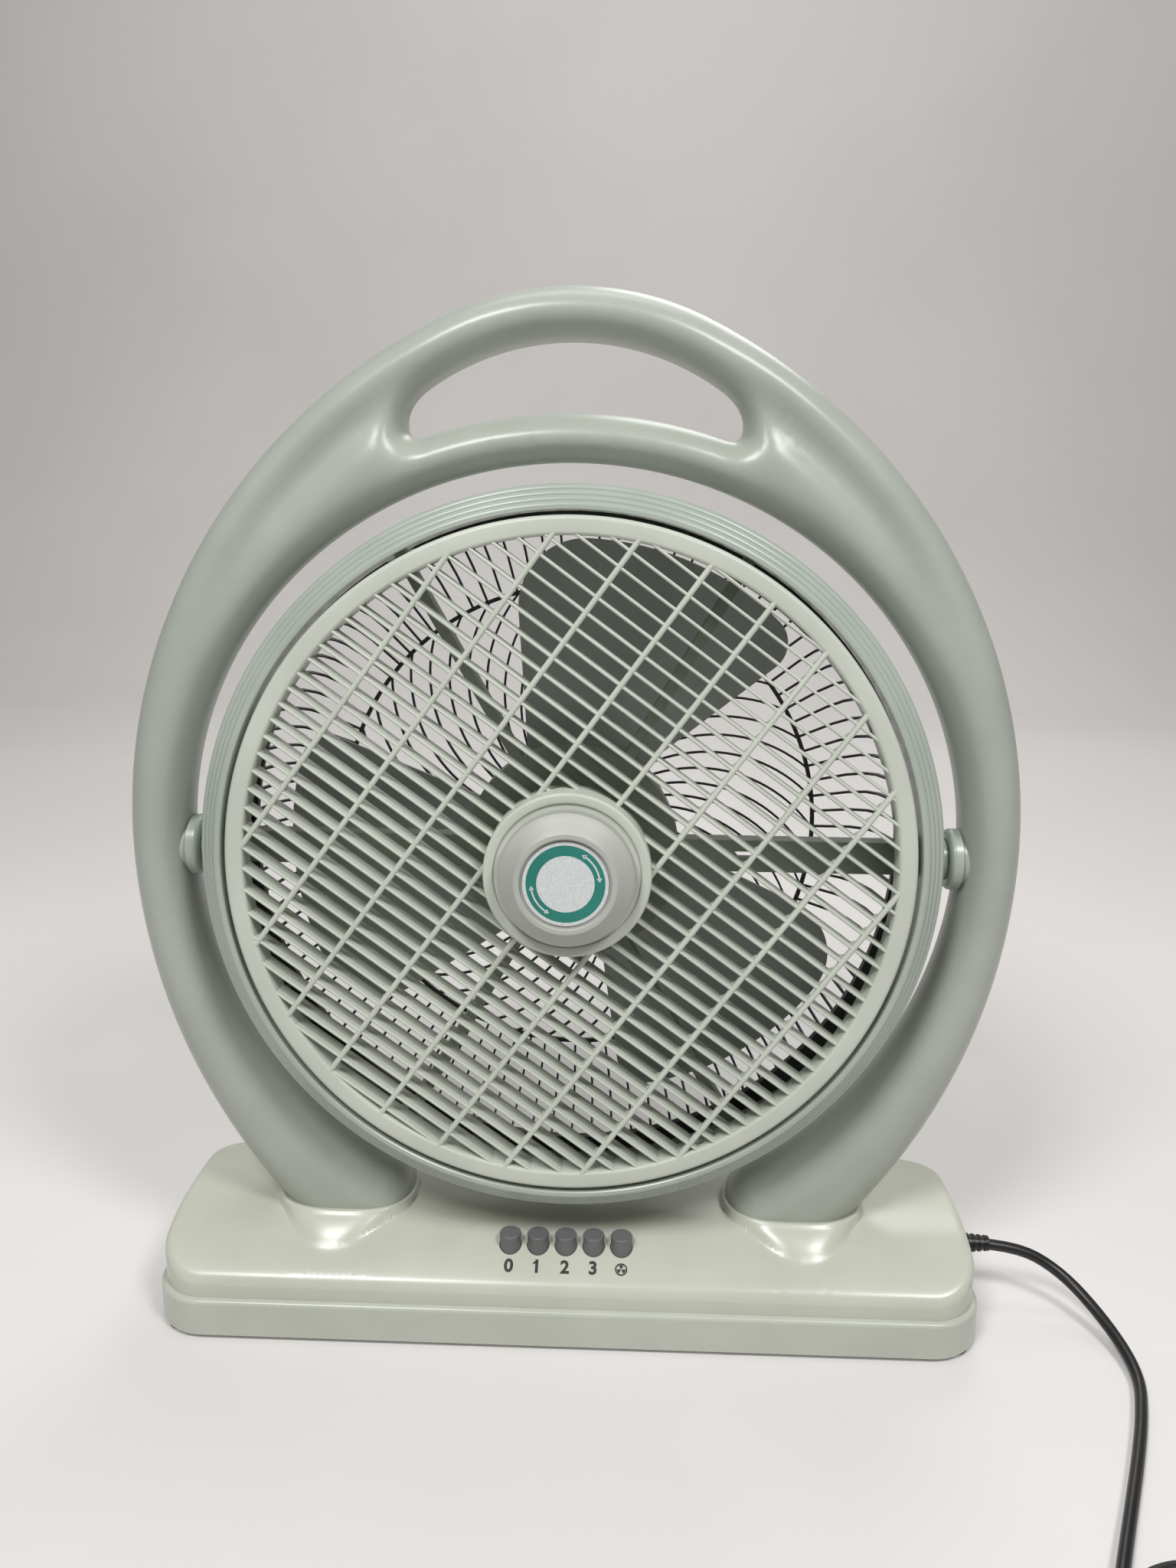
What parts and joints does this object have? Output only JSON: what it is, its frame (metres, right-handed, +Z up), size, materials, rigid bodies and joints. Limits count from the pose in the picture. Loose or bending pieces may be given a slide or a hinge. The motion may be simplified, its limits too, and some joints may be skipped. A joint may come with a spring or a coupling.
{
  "type": "box fan",
  "caption": "Round-drum table fan on an oval carrying arch and low base, with a turning swirl louver, tilting drum, push buttons and mains lead.",
  "frame": {"origin": "on the table, midway between the sides and midway between the front of the knob and the back of the guard", "axes": "+X to the viewer's right, +Y to the back, +Z up"},
  "size_m": [0.6215, 0.3789, 0.5669],
  "materials": {
    "sage_gloss": "glossy moulded",
    "cream_gloss": "glossy, aged",
    "sage_satin": "satin moulded",
    "guard_grey": "satin moulded",
    "blade_grey": "satin moulded",
    "button_grey": "glossy moulded",
    "label_print": "printed",
    "black_rubber": "flexible moulded",
    "prong_brass": "plain",
    "zinc_steel": "zinc plated",
    "motor_iron": "laminated",
    "motor_shell": "die cast",
    "copper_wire": "enamelled wire",
    "bearing_bronze": "sintered",
    "electric_plastic": "moulded"
  },
  "bodies": {
    "stand": {"arch_front": "sage_gloss", "arch_rear": "sage_gloss", "arch_screws": "zinc_steel", "base_cover": "cream_gloss", "base_screws": "zinc_steel", "base_tray": "cream_gloss", "cord_coil": "black_rubber", "cord_tie": "black_rubber", "pivot_bush_left": "sage_satin", "pivot_bush_right": "sage_satin", "plug_body": "black_rubber", "plug_prongs": "prong_brass", "power_cord": "black_rubber", "rubber_feet": "black_rubber", "run_capacitor": "electric_plastic", "strain_relief": "black_rubber", "switch_block": "electric_plastic", "switch_screws": "zinc_steel"},
    "drum": {"drum_ring": "sage_satin", "rear_guard": "guard_grey", "guard_screws": "zinc_steel", "front_spider": "sage_satin", "spider_screws": "zinc_steel", "motor_screws": "zinc_steel", "trunnion_left": "zinc_steel", "trunnion_right": "zinc_steel", "pivot_nut_left": "zinc_steel", "pivot_nut_right": "zinc_steel", "motor_front_bell": "motor_shell", "motor_rear_bell": "motor_shell", "bearing_front": "bearing_bronze", "bearing_rear": "bearing_bronze", "stator_core": "motor_iron", "stator_windings": "copper_wire", "louver_motor": "electric_plastic"},
    "rotor": {"rotor_core": "motor_iron", "motor_shaft": "zinc_steel", "fan_blade": "blade_grey", "blade_nut": "blade_grey"},
    "louver": {"louver_grille": "sage_satin", "louver_spindle": "zinc_steel"},
    "knob": {"louver_knob": "sage_satin", "knob_label": "label_print"},
    "button_0": {"button_0": "button_grey"},
    "button_1": {"button_1": "button_grey"},
    "button_2": {"button_2": "button_grey"},
    "button_3": {"button_3": "button_grey"},
    "button_louver": {"button_louver": "button_grey"}
  },
  "joints": [
    {"name": "drum_tilt", "type": "hinge", "parent": "stand", "child": "drum", "pos_m": [0, -0.0075, 0.275], "axis": [-1, 0, 0], "range_deg": [-23.3, 36.7]},
    {"name": "rotor_spin", "type": "hinge", "parent": "drum", "child": "rotor", "pos_m": [0, -0.0075, 0.275], "axis": [0, 0.9983, -0.0576], "continuous": true},
    {"name": "louver_spin", "type": "hinge", "parent": "drum", "child": "louver", "pos_m": [0, -0.0075, 0.275], "axis": [0, 0.9983, -0.0576], "continuous": true},
    {"name": "knob_turn", "type": "hinge", "parent": "louver", "child": "knob", "pos_m": [0, -0.0075, 0.275], "axis": [0, -0.9983, 0.0576], "range_deg": [0, 340]},
    {"name": "button_0_press", "type": "slide", "parent": "stand", "child": "button_0", "axis": [0, 0, -1], "range_m": [0, 0.004], "stiffness_N_per_m": 250, "springref_m": -0.003},
    {"name": "button_1_press", "type": "slide", "parent": "stand", "child": "button_1", "axis": [0, 0, -1], "range_m": [0, 0.004], "stiffness_N_per_m": 250, "springref_m": -0.003},
    {"name": "button_2_press", "type": "slide", "parent": "stand", "child": "button_2", "axis": [0, 0, -1], "range_m": [0, 0.004], "stiffness_N_per_m": 250, "springref_m": -0.003},
    {"name": "button_3_press", "type": "slide", "parent": "stand", "child": "button_3", "axis": [0, 0, -1], "range_m": [0, 0.004], "stiffness_N_per_m": 250, "springref_m": -0.003},
    {"name": "button_louver_press", "type": "slide", "parent": "stand", "child": "button_louver", "axis": [0, 0, -1], "range_m": [0, 0.004], "stiffness_N_per_m": 250, "springref_m": -0.003}
  ]
}
